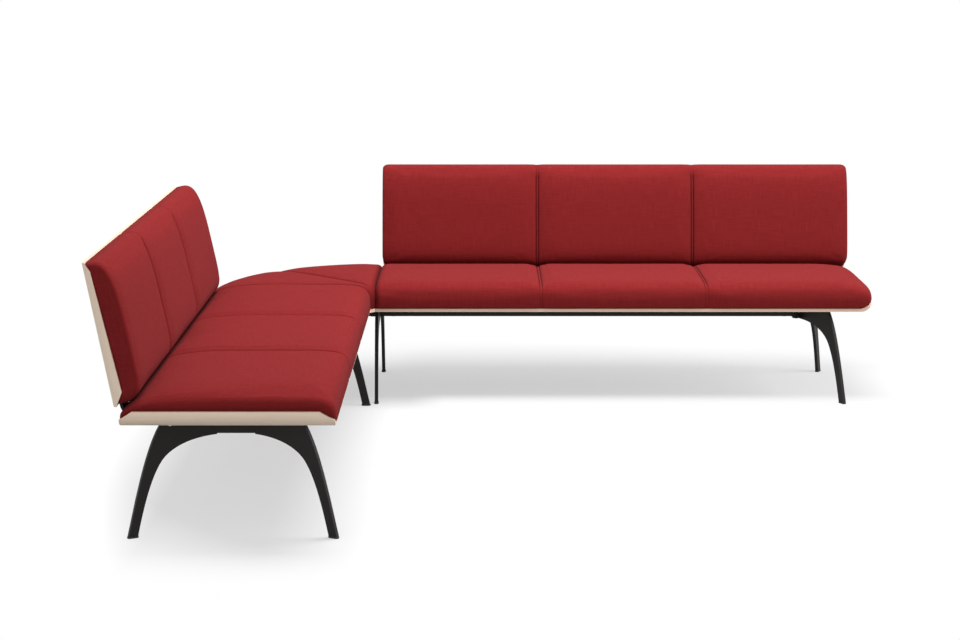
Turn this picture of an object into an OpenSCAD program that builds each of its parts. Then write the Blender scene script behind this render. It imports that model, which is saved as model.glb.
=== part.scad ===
// Modular corner bench: two straight benches with backs, joined at a right angle
// by a quarter-round seat. Moulded plywood shells carry the upholstery, and a steel
// beam on curved cast legs carries the shells. Sizes are in millimetres.
//
// The right bench is drawn in its own frame: X runs from the corner seam to the free
// end, Y from the front edge to the back, Z up. The left bench is its mirror image.

/* [Seats] */
// Width of one seat place
place_w = 600; // [520:10:680]
// Seat places on each bench
places = 3; // [2:1:4]
// Depth of the seat from its front edge to its rear edge
seat_d = 600; // [540:10:660]
// Height of the underside of the seat shells above the floor
seat_z = 343; // [310:1:400]
// Width of the short front edge of the corner seat, along each bench
nose = 20; // [12:1:30]
// Gap between the shells of two neighbouring seats
shell_gap = 1; // [0.6:0.2:3]

/* [Plywood shells] */
// Thickness of the moulded plywood
ply_t = 12; // [10:1:15]
// Outer radius of the bent shell ends
bend_r = 40; // [34:1:56]
// Height of a bent seat end over the underside
flange_h = 46; // [38:1:56]
// Length of the slanting cut at each corner of a bent end
trim_run = 42; // [30:1:60]
// Height of that cut on the seat
trim_rise = 24; // [16:1:28]

/* [Back] */
// Height of the back shell along its slope
back_h = 411; // [360:1:480]
// Lean of the back from the vertical, in degrees
back_lean = 10.5; // [6:0.5:14]
// Distance of the back shell's foot behind the rear edge of the seat
back_set = 18; // [16:1:36]
// Height of the back shell's foot above the underside of the seat
back_rise = 55; // [50:1:70]
// Depth of the bent back ends near the bottom
back_flange_low = 38; // [34:1:44]
// Depth of the bent back ends near the top
back_flange_top = 24; // [20:1:32]

/* [Upholstery] */
// Thickness of the seat upholstery at its crown
seat_pad_h = 95; // [70:1:120]
// Thickness of the back upholstery at its crown
back_pad_h = 78; // [60:1:95]
// Depth of the sewn channels between the seat places
channel_depth = 11; // [6:1:16]
// Distance between the two stitch lines of a channel
channel_w = 10; // [6:1:16]
// Amount by which the upholstery is drawn in along its lower edge
tuck = 1; // [0.5:0.5:6]
// Amount by which the seat upholstery stands over the front edge of its shell
overhang = 4; // [2:0.5:8]
// Rounding of the upholstery at a seam between two seats
seam_roll = 18; // [8:1:20]
// Height of the back upholstery's lower edge above that of its shell
back_pad_up = 4; // [0:1:12]
// Extra thickness of the back upholstery at its foot over that at its top
back_taper = 10; // [0:1:16]
// Clearance of the upholstery from what it meets
pad_fit = 0.5; // [0.3:0.1:1.5]

/* [Beam] */
// Width of the steel beam under the seats
beam_w = 115; // [90:1:140]
// Height of the beam
beam_h = 56; // [46:1:62]
// Wall of the beam
beam_wall = 3; // [2:0.5:4]
// Clearance of a spigot inside the beam
spigot_fit = 0.4; // [0.2:0.1:1]
// Length of a spigot in the beam
spigot_l = 50; // [35:1:80]
// Thickness of the cross bars between the beam and the shell
bar_t = 4; // [3:0.5:6]
// Width of a cross bar
bar_w = 50; // [40:1:70]
// Length of a cross bar
bar_l = 420; // [320:10:480]

/* [Legs] */
// Height of the leg arms where they meet their block
arm_h = 68; // [64:1:84]
// Thickness of the leg castings
blade_t = 12; // [9:1:16]
// Width of a leg at its foot
foot_w = 28; // [20:1:34]
// Distance of the end legs' block from the free end of the bench
apex_in = 220; // [190:5:260]
// Distance of the end feet from the free end of the bench
foot_in = 88; // [70:2:120]
// Distance of the feet inside the front and rear edges of the seat
foot_edge = 2; // [0:1:12]
// Width of the bolting pad at the root of a leg, with the leg flush with its outer edge
root_w = 36; // [32:1:44]
// Thickness of that pad
root_t = 8; // [6:1:12]
// Length of the block at a seam
joint_l = 60; // [56:1:90]
// Height of the glides under the feet
glide_h = 6; // [4:1:10]
// Rim of a glide around the foot
glide_rim = 2; // [1:0.5:4]

/* [Back brackets] */
// Width of the bent steel bar
bracket_w = 80; // [60:1:100]
// Thickness of that bar
bracket_t = 8; // [6:1:10]
// Outer radius of its bend
bracket_r = 50; // [44:1:60]
// Length of its foot on the seat shell
bracket_foot = 105; // [90:1:130]
// Length of its upright on the back shell
bracket_up = 115; // [95:1:150]
// Distance of the outer brackets from the ends of the bench
bracket_in = 62; // [54:1:110]
// Thickness of the plate under each bracket
plate_t = 4; // [3:0.5:6]

/* [Fasteners] */
// Diameter of the bolts
bolt_d = 8; // [6:1:10]
// Diameter of their heads
bolt_head_d = 13; // [11:1:15]
// Height of their heads
bolt_head_h = 5; // [4:0.5:8]
// Diameter of the wood screws
screw_d = 5; // [4:0.5:6]
// Diameter of their heads
screw_head_d = 9.5; // [8:0.5:11]
// Height of their heads
screw_head_h = 2.5; // [2:0.25:3]
// Depth of a screw in the plywood
screw_bite = 9; // [7:0.5:9]
// Clearance around a shank in its hole
hole_fit = 0.3; // [0.1:0.1:0.6]

/* [Hidden] */
bench_l = place_w * places;
seat_top = seat_z + ply_t;
back_z = seat_z + back_rise;
back_reach = back_set + back_h * sin(back_lean);
frame_shift = (nose + bench_l - seat_d - back_reach) / 2;
corner_r = seat_d + nose;
beam_top = seat_z - bar_t;
arm_z = seat_z - arm_h;
beam_y = seat_d / 2;
splay_across = beam_y - beam_w / 2 - foot_edge;
splay = atan((apex_in - foot_in) / splay_across);
end_span = splay_across / cos(splay);
joint_span = splay_across;
block_l = 64;
block_z = arm_z + 3;
beam_from = joint_l / 2;
beam_to = bench_l - apex_in - block_l / 2;
foot_pt = [seat_d + back_set - ply_t * cos(back_lean), back_z + ply_t * sin(back_lean)];
bend_up = (seat_top + bracket_r * (1 - sin(back_lean)) - foot_pt[1]) / cos(back_lean);
bend_y = foot_pt[0] + bend_up * sin(back_lean) - bracket_r * cos(back_lean);
bracket_xs = [bench_l - bracket_in - bracket_w / 2, bench_l / 2, bracket_in + bracket_w / 2];
bar_gap = 20;
bar_xs = [beam_to - spigot_l - bar_w / 2 - bar_gap, bench_l / 2 - (bracket_w + bar_w) / 2 - bar_gap,
    bracket_in + bracket_w + bar_w / 2 + bar_gap];

// Fastener spots
small_d = 0.75 * bolt_d;
small_head_d = 0.75 * bolt_head_d;
sunk_h = min(small_d / 2, bar_t - 0.5);
leg_bite = 20;
end_room = 2;
root_bolt = root_w / 2;
root_rows = [0.2, 0.56];
bar_screw = bar_l / 2 - 15;
foot_hole = bracket_foot - 18;
foot_gauge = bracket_w / 4;
upright_rows = [0.45, 0.85];
plate_l = 70;
plate_toe = 20;

// Form of the upholstery: a superellipse for each side, and how a bent end falls away
front_power = 4.4;
rear_power = 2.8;
foot_power = 2.4;
top_power = 3.4;
side_wall = 14;
end_draw = 14;
end_round = 24;
seam_draw = 3;
// Length, power and fall of the roll at a bent end
seat_ending = [100, 2.4, 26];
back_ending = [30, 2, 10];
channel_slope = 1.2 * channel_w;
// Slanting plane on which the seat and the back upholstery meet, seen from the side
meet = seat_d + seat_top + back_set * sqrt(2);

loop_n = 14;
arc_n = 18;
wood = "#c8b296";
cloth = "#97303a";
metal = "#2f2f30";
zinc = "#8d8f91";
plastic = "#1d1d1e";

// Frames of the two benches and of a leaning back

module right_bench() {
    translate([nose - frame_shift, frame_shift, 0]) children();
}

module left_bench() {
    mirror([1, 1, 0]) right_bench() children();
}

module plan() {
    translate([-frame_shift, frame_shift, 0]) children();
}

module back_frame() {
    translate([0, seat_d + back_set, back_z]) rotate([90 - back_lean, 0, 0]) children();
}

// Points on curves

function arc(centre, radius, from, to, steps = arc_n) =
    [for (i = [0 : steps]) let (a = from + (to - from) * i / steps)
        centre + radius * [cos(a), sin(a)]];

function bezier(p, steps) =
    [for (i = [0 : steps]) let (t = i / steps, u = 1 - t)
        u * u * u * p[0] + 3 * u * u * t * p[1] + 3 * u * t * t * p[2] + t * t * t * p[3]];

// Plywood

// Section of a shell along the bench, with one or both ends bent up by a quarter turn
function shell_section(from, to, rise, bent_low) = let (
        inner = bend_r - ply_t,
        top = max(rise, bend_r + 0.1))
    concat(
        bent_low ? concat([[from, top]], arc([from + bend_r, bend_r], bend_r, 180, 270)) : [[from, 0]],
        arc([to - bend_r, bend_r], bend_r, 270, 360),
        [[to, top], [to - ply_t, top]],
        arc([to - bend_r, bend_r], inner, 360, 270),
        bent_low ? concat(arc([from + bend_r, bend_r], inner, 270, 180), [[from + ply_t, top]])
                 : [[from, ply_t]]);

// The section runs the whole depth, and the side view trims the bent ends
module bent_shell(from, to, depth, rise, bent_low, side_view) {
    intersection() {
        translate([0, depth, 0]) rotate([90, 0, 0])
            linear_extrude(depth) polygon(shell_section(from, to, rise, bent_low));
        translate([from - 1, 0, 0]) rotate([90, 0, 90])
            linear_extrude(to - from + 2) polygon(side_view);
    }
}

seat_side_view = [[0, 0], [0, flange_h - trim_rise], [trim_run, flange_h],
    [seat_d - trim_run + 5, flange_h], [seat_d, flange_h - trim_rise], [seat_d, 0]];
back_side_view = [[0, 0], [0, ply_t], [trim_run - 2, back_flange_low],
    [back_h - trim_run * 0.6, back_flange_top], [back_h, ply_t], [back_h, 0]];

module seat_shell() {
    color(wood) difference() {
        translate([0, 0, seat_z])
            bent_shell(shell_gap / 2, bench_l, seat_d, flange_h, false, seat_side_view);
        bar_holes(seat_z - 1, screw_bite + 1, screw_d / 2 + hole_fit / 2);
        for (x = bracket_xs) foot_holes(x, seat_z - 1, ply_t + 2);
    }
}

module back_shell() {
    color(wood) difference() {
        back_frame()
            bent_shell(shell_gap / 2, bench_l, back_h, back_flange_low, true, back_side_view);
        for (x = bracket_xs)
            upright_holes(x, ply_t - screw_bite, screw_bite + 1, screw_d / 2 + hole_fit / 2);
    }
}

// Quarter-round shell: a sector of a disc whose tip is cut off by the nose
function corner_sector(r, gap) = concat(
    arc([nose, -nose], r, 180 - asin(gap / r), 90 + asin(gap / r), 4 * arc_n),
    [[nose - gap, 0], [0, gap - nose]]);

module corner_seat_shell() {
    color(wood) difference() {
        translate([0, 0, seat_z]) linear_extrude(ply_t)
            polygon(corner_sector(corner_r, shell_gap / 2));
        corner_bar_holes(seat_z - 1, screw_bite + 1, screw_d / 2 + hole_fit / 2);
    }
}

// Upholstery

// Fall of the top towards an end: 1 at the end itself, 0 beyond the length of the roll
function roll(e, length, power) =
    e >= length ? 0 : 1 - pow(1 - pow((length - max(e, 0)) / length, power), 1 / power);

// A channel is two stitch lines with a narrow band between them
function channel(e) = let (half = channel_w / 2)
    e < half ? 0.55 + 0.45 * e / half
    : e < half + channel_slope ? pow(1 - (e - half) / channel_slope, 1.5) : 0;

function channels(x) = max([for (i = [1 : places - 1]) channel(abs(x - i * place_w))]);

// Loop of points round one cross-section, from the near lower edge over the top.
// The side heights meet the crown in a superellipse with its own power on each side.
function pad_loop(depth, top, inset, near_power, far_power, slope) = let (
        side = min(side_wall, top * 0.3),
        half = depth / 2 - inset,
        foot = tuck + 0.2 * inset)
    concat(
        [[foot, 0]],
        [for (k = [0 : loop_n]) let (
                a = 180 * k / loop_n,
                power = a < 90 ? near_power : far_power,
                c = pow(abs(cos(a)), 2 / power),
                s = pow(max(sin(a), 0), 2 / power),
                across = depth / 2 - sign(cos(a)) * half * c)
            [across, side + (top - side + slope * (0.5 - across / depth)) * s]],
        [[depth - foot, 0]]);

// Stations along a cushion: close together at its ends and channels
function pad_stations(from, to, length, bent_low) = let (
        bent = [for (part = [0, 0.015, 0.05, 0.12, 0.22, 0.38, 0.6, 1]) part * length],
        reach = channel_w / 2 + channel_slope)
    concat(
        [for (e = bent_low ? bent : [0, 1, 4, 9, seam_roll]) from + e],
        [for (i = [0.5 : places - 0.5]) i * place_w],
        [for (i = [1 : places - 1], e = [-1, -0.45, -0.2, 0, 0.2, 0.45, 1]) i * place_w + e * reach],
        [for (e = bent) to - e]);

function sorted(list) = len(list) <= 1 ? list : let (
        pivot = list[floor(len(list) / 2)],
        below = [for (v = list) if (v < pivot) v],
        above = [for (v = list) if (v > pivot) v])
    concat(sorted(below), [pivot], sorted(above));

// Skin between neighbouring loops, with a fan from the crown over each end loop
module loft(loops) {
    count = len(loops[0]);
    last = len(loops) - 1;
    crown = floor(count / 2);
    rim = [for (k = [0 : count - 1]) if (k != crown && (k + 1) % count != crown) k];
    polyhedron(
        points = [for (l = loops) each l],
        faces = concat(
            [for (i = [0 : last - 1], k = [0 : count - 1]) let (
                    a = i * count + k,
                    b = i * count + (k + 1) % count)
                each [[a, b, b + count], [a, b + count, a + count]]],
            [for (k = rim) [crown, (k + 1) % count, k]],
            [for (k = rim) [crown, k, (k + 1) % count] + [last, last, last] * count]));
}

// Cushion of a whole bench, with one or both ends over a bent end of the plywood
module bench_pad(from, to, depth, height, bent_low, ending, near_power, far_power, slope) {
    loft([for (x = sorted(pad_stations(from, to, ending[0], bent_low))) let (
            low = x - from,
            high = to - x,
            groove = channel_depth * channels(x),
            ends = roll(high, ending[0], ending[1]) + (bent_low ? roll(low, ending[0], ending[1]) : 0),
            fall = ending[2] * ends + (bent_low ? 0 : seam_roll * roll(low, seam_roll, 2)),
            drawn = roll(high, end_round, 2) + (bent_low ? roll(low, end_round, 2) : 0),
            inset = end_draw * drawn + (bent_low ? 0 : seam_draw * roll(low, seam_roll, 2))
                + groove * 0.35)
        [for (p = pad_loop(depth, height - fall - groove, inset, near_power, far_power, slope))
            [x, p[0], p[1]]]]);
}

// A side view carried on past both edges of its shell
function widened(view) = let (last = len(view) - 1)
    concat([[-bend_r, -bend_r], [-bend_r, view[1][1]]], [for (i = [1 : last - 1]) view[i]],
        [[view[last][0] + bend_r, view[last - 1][1]], [view[last][0] + bend_r, -bend_r]]);

// All that lies outside the inner face of the bent ends, up to their trimmed edges
module beyond_ends(from, to, bent_low, side_view) {
    inner = bend_r - ply_t - pad_fit;
    high = 3 * bend_r;
    wide = seat_d + back_h;
    intersection() {
        translate([0, wide, 0]) rotate([90, 0, 0]) linear_extrude(2 * wide) difference() {
            translate([from - bend_r, -bend_r / 2]) square([to - from + 2 * bend_r, high]);
            polygon(concat(
                bent_low ? concat([[from + bend_r - inner, high]],
                        arc([from + bend_r, bend_r], inner, 180, 270), [[from + bend_r, -bend_r]])
                    : [[from - 2 * bend_r, high], [from - 2 * bend_r, -bend_r]],
                [[to - bend_r, -bend_r]], arc([to - bend_r, bend_r], inner, 270, 360),
                [[to - bend_r + inner, high]]));
        }
        translate([from - bend_r, 0, 0]) rotate([90, 0, 90]) linear_extrude(to - from + 2 * bend_r)
            offset(delta = pad_fit) polygon(widened(side_view));
    }
}

// All that lies on one side of the plane on which the upholstery meets
module beyond_meet(shift, side) {
    reach = seat_d + back_reach;
    translate([-1, 0, 0]) rotate([90, 0, 90]) linear_extrude(bench_l + 2)
        translate([0, meet + shift]) rotate(-45) translate([-reach, side > 0 ? 0 : -2 * reach])
            square([4 * reach, 2 * reach]);
}

module seat_cushion() {
    color(cloth) difference() {
        translate([0, -overhang, seat_top])
            bench_pad(pad_fit, bench_l, seat_d + overhang, seat_pad_h, false, seat_ending,
                front_power, rear_power, 0);
        translate([0, 0, seat_z]) beyond_ends(0, bench_l, false, seat_side_view);
        for (x = bracket_xs) bracket_pocket(x);
        beyond_meet(-pad_fit, 1);
    }
}

module back_cushion() {
    color(cloth) difference() {
        back_frame() translate([0, back_pad_up, ply_t])
            bench_pad(shell_gap / 2, bench_l, back_h - back_pad_up, back_pad_h, true, back_ending,
                foot_power, top_power, back_taper);
        back_frame() beyond_ends(shell_gap / 2, bench_l, true, back_side_view);
        for (x = bracket_xs) upright_pocket(x);
        beyond_meet(pad_fit, -1);
    }
}

// The corner pad is lofted round the tip of the sector, with one channel on the diagonal
corner_angles = let (half = [0, 0.35, 0.9, 1.8, 4, 12, 22, 33, 41.5, 43.2, 44.1, 44.6, 45])
    concat(half, [for (i = [len(half) - 2 : -1 : 0]) 90 - half[i]]);

module corner_seat_cushion() {
    tip = [nose - pad_fit, -nose + pad_fit];
    reach = corner_r - pad_fit;
    color(cloth) translate([0, 0, seat_top])
        loft([for (a = corner_angles) let (
                start = (nose - pad_fit) / (cos(a) + sin(a)),
                depth = reach - start)
            [for (p = pad_loop(depth, seat_pad_h, 0, front_power, rear_power, 0)) let (
                    r = start + p[0],
                    seam = min(r * sin(a), r * cos(a)),
                    fold = r * abs(sin(a - 45)),
                    rise = p[1] / seat_pad_h,
                    drop = seam_roll * roll(seam, seam_roll, 2) + channel_depth * channel(fold))
                [tip[0] - r * cos(a), tip[1] + r * sin(a), p[1] - drop * rise * rise]]]);
}

// Beam and blocks

module tube(length, width, height, wall) {
    rotate([90, 0, 90]) linear_extrude(length) difference() {
        translate([-width / 2, 0]) square([width, height]);
        translate([wall - width / 2, wall]) square([width - 2 * wall, height - 2 * wall]);
    }
}

module spigot_at(x, direction) {
    gap = beam_wall + spigot_fit;
    translate([direction > 0 ? x : x - spigot_l, beam_y - beam_w / 2 + gap, beam_top - beam_h + gap])
        cube([spigot_l, beam_w - 2 * gap, beam_h - 2 * gap]);
}

module beam() {
    color(metal) difference() {
        translate([beam_from, beam_y, beam_top - beam_h])
            tube(beam_to - beam_from, beam_w, beam_h, beam_wall);
        beam_bolt_holes();
        for (x = bar_xs) bar_bolt_spots(x) bar_bolt_hole();
    }
}

// Places of the bolts that hold the beam on its spigots
beam_bolt_xs = [beam_from + spigot_l / 2, beam_to - spigot_l / 2];

module beam_bolt_holes() {
    for (x = beam_bolt_xs, side = [-1, 1])
        translate([x, beam_y + side * beam_w / 4, beam_top - beam_h - 1])
            cylinder(h = beam_h / 2, d = bolt_d + 2 * hole_fit, $fn = 32);
}

// Bolt that points up, with the underside of its head at zero
module beam_bolt() {
    translate([0, 0, -bolt_head_h]) cylinder(h = bolt_head_h, d = bolt_head_d, $fn = 32);
    translate([0, 0, -0.01]) cylinder(h = beam_h / 2 - 1 - end_room, d = bolt_d, $fn = 32);
}

module beam_bolts() {
    color(zinc) for (x = beam_bolt_xs, side = [-1, 1])
        translate([x, beam_y + side * beam_w / 4, beam_top - beam_h]) beam_bolt();
}

// The end block has two slanting faces, square to the splayed legs. Its end face is
// flush with the outer faces of the legs.
module end_block() {
    outer = blade_t / 2;
    inner = root_w - outer;
    c = cos(splay);
    s = sin(splay);
    x0 = beam_to;
    x1 = bench_l - apex_in;
    y = beam_w / 2;
    color(metal) difference() {
        union() {
            translate([0, beam_y, block_z]) linear_extrude(seat_z - block_z) polygon([
                [x0, -y - inner * s], [x1 - inner * c, -y - inner * s], [x1 + outer * c, -y + outer * s],
                [x1 + outer * c, y - outer * s], [x1 - inner * c, y + inner * s], [x0, y + inner * s]]);
            spigot_at(x0 + 0.01, -1);
        }
        beam_bolt_holes();
        leg_bolt_holes(end_leg_places);
    }
}

module joint_block() {
    low = beam_top - beam_h;
    color(metal) difference() {
        union() {
            translate([-joint_l / 2, beam_y - beam_w / 2, low]) cube([joint_l, beam_w, seat_z - low]);
            spigot_at(joint_l / 2 - 0.01, 1);
            spigot_at(-joint_l / 2 + 0.01, -1);
        }
        beam_bolt_holes();
        corner_beam_bolt_holes();
        leg_bolt_holes(joint_leg_places);
    }
}

// Legs

// Side view of a leg from its root outwards: a flat arm that turns down into a blade.
// Its curves keep their form when the span or the height changes.
function leg_outline(span) = let (
        h = seat_z - glide_h,
        out = span,
        in = span - foot_w,
        crown = arm_z - glide_h)
    [for (p = concat(
        [[0, h]],
        bezier([[0.55 * out, h], [0.72 * out, 0.88 * h], [0.85 * out, 0.5 * h], [out, 0]], arc_n),
        bezier([[in, 0], [0.915 * in, 0.33 * crown], [0.82 * in, 0.61 * crown],
            [0.7 * in, 0.765 * crown]], arc_n),
        bezier([[0.7 * in, 0.765 * crown], [0.6 * in, 0.9 * crown], [0.36 * in, crown],
            [0, crown]], arc_n)))
        [p[0], p[1] + glide_h]];

// The bolting pad lies behind the blade, so that its bolts are out of sight
module leg(span, low, behind) {
    color(metal) difference() {
        union() {
            rotate([90, 0, 0]) linear_extrude(blade_t, center = true) polygon(leg_outline(span));
            translate([0, behind > 0 ? -blade_t / 2 : blade_t / 2 - root_w, low])
                cube([root_t, root_w, seat_z - low]);
        }
        for (row = root_rows) translate([-1, behind * root_bolt, seat_z - row * arm_h])
            rotate([0, 90, 0]) cylinder(h = root_t + 2, d = small_d + 2 * hole_fit, $fn = 32);
    }
}

// Each place holds the root's x, the side of the beam, the turn from square and the span
end_leg_places = [[bench_l - apex_in, -1, splay, end_span], [bench_l - apex_in, 1, splay, end_span]];
joint_leg_places = [[0, -1, 0, joint_span], [0, 1, 0, joint_span]];

module at_leg(place) {
    translate([place[0], beam_y + place[1] * beam_w / 2, 0])
        rotate([0, 0, place[1] * (90 - place[2])]) children();
}

// Two spots behind the root of each leg, with Z along the leg
module leg_bolt_spots(leg_places) {
    for (place = leg_places) at_leg(place) for (row = root_rows)
        translate([0, place[1] * root_bolt, seat_z - row * arm_h]) rotate([0, 90, 0]) children();
}

module leg_bolt_holes(leg_places) {
    leg_bolt_spots(leg_places) translate([0, 0, -leg_bite - end_room])
        cylinder(h = leg_bite + 2 * end_room, d = small_d + 2 * hole_fit, $fn = 32);
}

module leg_bolts() {
    color(zinc) leg_bolt_spots(concat(end_leg_places, joint_leg_places)) {
        translate([0, 0, -leg_bite]) cylinder(h = leg_bite + root_t, d = small_d, $fn = 32);
        translate([0, 0, root_t]) cylinder(h = bolt_head_h, d = small_head_d, $fn = 32);
    }
}

module end_leg_front() {
    at_leg(end_leg_places[0]) leg(end_span, block_z, -1);
}

module end_leg_rear() {
    at_leg(end_leg_places[1]) leg(end_span, block_z, 1);
}

module joint_leg_front() {
    at_leg(joint_leg_places[0]) leg(joint_span, beam_top - beam_h, -1);
}

module joint_leg_rear() {
    at_leg(joint_leg_places[1]) leg(joint_span, beam_top - beam_h, 1);
}

// A glide is a slab with round ends under each foot
module glides() {
    width = blade_t + 2 * glide_rim;
    straight = foot_w - blade_t + glide_rim;
    color(plastic) for (place = concat(end_leg_places, joint_leg_places)) at_leg(place)
        translate([place[3] - foot_w / 2, 0, 0]) linear_extrude(glide_h) {
            square([straight, width], center = true);
            for (side = [-1, 1]) translate([side * straight / 2, 0]) circle(d = width, $fn = 48);
        }
}

// Cross bars, their screws into the shells and their bolts into the beam

module bar_spots(x) {
    for (side = [-1, 1], along = [-1, 1])
        translate([x + along * bar_w / 4, beam_y + side * bar_screw, 0]) children();
}

module bar_holes(z, h, r) {
    for (x = bar_xs) bar_spots(x) translate([0, 0, z]) cylinder(h = h, r = r, $fn = 32);
}

module bar_bolt_spots(x) {
    for (side = [-1, 1]) translate([x, beam_y + side * beam_w / 4, seat_z]) children();
}

// Countersunk hole through a bar and the wall of the beam, with its rim at zero
module bar_bolt_hole() {
    deep = bar_t + beam_wall + 1;
    translate([0, 0, -deep]) cylinder(h = deep, d = small_d + 2 * hole_fit, $fn = 32);
    sunk(hole_fit, 0.01);
}

module sunk(fit, over) {
    translate([0, 0, -sunk_h]) cylinder(h = sunk_h + over,
        d1 = small_d + 2 * fit, d2 = small_d + 2 * (sunk_h + over) + 2 * fit, $fn = 32);
}

// Countersunk bolt that points down, with the top of its head at zero
module bar_bolt() {
    long = bar_t + beam_wall + bolt_d;
    translate([0, 0, -long]) cylinder(h = long - sunk_h + 0.01, d = small_d, $fn = 32);
    sunk(0, 0);
}

module bar_bolts() {
    color(zinc) for (x = bar_xs) bar_bolt_spots(x) bar_bolt();
}

module cross_bar(x) {
    color(metal) difference() {
        translate([x - bar_w / 2, beam_y - bar_l / 2, seat_z - bar_t]) cube([bar_w, bar_l, bar_t]);
        bar_spots(x) translate([0, 0, seat_z - bar_t - 1])
            cylinder(h = bar_t + 2, r = screw_d / 2 + hole_fit, $fn = 32);
        bar_bolt_spots(x) bar_bolt_hole();
    }
}

module outer_cross_bar() {
    cross_bar(bar_xs[0]);
}

module middle_cross_bar() {
    cross_bar(bar_xs[1]);
}

module inner_cross_bar() {
    cross_bar(bar_xs[2]);
}

// Pan-head screw that points up, with the underside of its head at zero
module wood_screw(grip) {
    translate([0, 0, -screw_head_h]) cylinder(h = screw_head_h, d = screw_head_d, $fn = 32);
    cylinder(h = grip + screw_bite - 0.5, d = screw_d, $fn = 32);
}

module shell_screws() {
    color(zinc) for (x = bar_xs) bar_spots(x) translate([0, 0, seat_z - bar_t]) wood_screw(bar_t);
}

// Back brackets

// Side view of the bent bar: a foot on the seat shell, a bend, an upright on the back shell
function bracket_outline(grow, foot_more) = let (
        c = [bend_y, seat_top + bracket_r],
        w = [sin(back_lean), cos(back_lean)],
        n = [-cos(back_lean), sin(back_lean)],
        top = foot_pt + (bend_up + bracket_up) * w)
    concat(
        [[bend_y - bracket_foot - foot_more, seat_top]],
        arc(c, bracket_r, -90, -back_lean),
        [top, top + (bracket_t + grow) * n],
        arc(c, bracket_r - bracket_t - grow, -back_lean, -90),
        [[bend_y - bracket_foot - foot_more, seat_top + bracket_t + grow]]);

module foot_spots(x) {
    for (side = [-1, 1]) translate([x + side * foot_gauge, bend_y - foot_hole, 0]) children();
    translate([x, bend_y - foot_hole + plate_l / 2 - plate_toe / 4, 0]) children();
}

module foot_holes(x, z, h) {
    foot_spots(x) translate([0, 0, z]) cylinder(h = h, d = bolt_d + 2 * hole_fit, $fn = 32);
}

module upright_spots(x) {
    back_frame() for (side = [-1, 1], rise = upright_rows)
        translate([x + side * foot_gauge, bend_up + bracket_up * rise, 0]) children();
}

module upright_holes(x, z, h, r) {
    upright_spots(x) translate([0, 0, z]) cylinder(h = h, r = r, $fn = 32);
}

// Countersunk hole through the bar of a bracket
module sunk_hole(shank_d, head_d, head_h) {
    translate([0, 0, -1]) cylinder(h = bracket_t + 2, d = shank_d, $fn = 32);
    translate([0, 0, bracket_t - head_h])
        cylinder(h = head_h + 0.01, d1 = shank_d, d2 = head_d, $fn = 32);
}

module back_bracket(x) {
    color(metal) difference() {
        translate([x - bracket_w / 2, 0, 0]) rotate([90, 0, 90])
            linear_extrude(bracket_w) polygon(bracket_outline(0, 0));
        foot_spots(x) translate([0, 0, seat_top])
            sunk_hole(bolt_d + 2 * hole_fit, 2 * (bolt_d + hole_fit), bolt_d / 2);
        upright_spots(x) translate([0, 0, ply_t])
            sunk_hole(screw_d + 2 * hole_fit, screw_head_d + 2 * hole_fit, screw_head_h);
    }
}

module outer_bracket() {
    back_bracket(bracket_xs[0]);
}

module middle_bracket() {
    back_bracket(bracket_xs[1]);
}

module inner_bracket() {
    back_bracket(bracket_xs[2]);
}

// Room for a bracket in the foam of the seat
module bracket_pocket(x) {
    wide = bracket_w + 2 * pad_fit;
    c = [bend_y, seat_top + bracket_r];
    translate([x - wide / 2, 0, 0]) rotate([90, 0, 90]) linear_extrude(wide)
        polygon(concat(
            [[bend_y - bracket_foot - pad_fit, seat_top - 1], [seat_d + back_reach, seat_top - 1],
             [seat_d + back_reach, seat_top + bracket_r], [c[0] + bracket_r - bracket_t - pad_fit, c[1]]],
            arc(c, bracket_r - bracket_t - pad_fit, 0, -90),
            [[bend_y - bracket_foot - pad_fit, seat_top + bracket_t + pad_fit]]));
}

// Room for its upright in the foam of the back
module upright_pocket(x) {
    wide = bracket_w + 2 * pad_fit;
    back_frame() translate([x - wide / 2, -1, ply_t - 1])
        cube([wide, bend_up + bracket_up + pad_fit + 1, bracket_t + pad_fit + 1]);
}

module bracket_plates() {
    color(metal) for (x = bracket_xs) difference() {
        translate([x - bracket_w / 2, bend_y - foot_hole - plate_toe, seat_z - plate_t])
            cube([bracket_w, plate_l, plate_t]);
        foot_holes(x, seat_z - plate_t - 1, plate_t + 2);
    }
}

// Countersunk bolt and its nut under the plate, and the screws of the uprights
module bracket_bolts() {
    nut_h = 0.8 * bolt_d;
    nut_d = 1.12 * bolt_head_d;
    color(zinc) for (x = bracket_xs) {
        foot_spots(x) translate([0, 0, seat_top + bracket_t]) {
            sunk_screw(bracket_t + ply_t + plate_t + bolt_d, bolt_d, 2 * bolt_d, bolt_d / 2);
            translate([0, 0, -bracket_t - ply_t - plate_t - nut_h])
                cylinder(h = nut_h, d = nut_d, $fn = 6);
        }
        upright_spots(x) translate([0, 0, ply_t + bracket_t])
            sunk_screw(bracket_t + screw_bite - 0.5, screw_d, screw_head_d, screw_head_h);
    }
}

// Countersunk screw that points down, with the top of its head at zero
module sunk_screw(long, shank_d, head_d, head_h) {
    translate([0, 0, -head_h]) cylinder(h = head_h, d1 = shank_d, d2 = head_d, $fn = 32);
    translate([0, 0, -long]) cylinder(h = long - head_h + 0.01, d = shank_d, $fn = 32);
}

// Corner frame: two beams that meet in a mitre on the diagonal

corner_beam_l = beam_y + nose + beam_w / 2 - joint_l / 2;
corner_bolt_x = -joint_l / 2 - spigot_l / 2;

module corner_beam_bolt_holes() {
    for (side = [-1, 1]) translate([corner_bolt_x, beam_y + side * beam_w / 4, beam_top - beam_h - 1])
        cylinder(h = beam_h / 2, d = bolt_d + 2 * hole_fit, $fn = 32);
}

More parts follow.
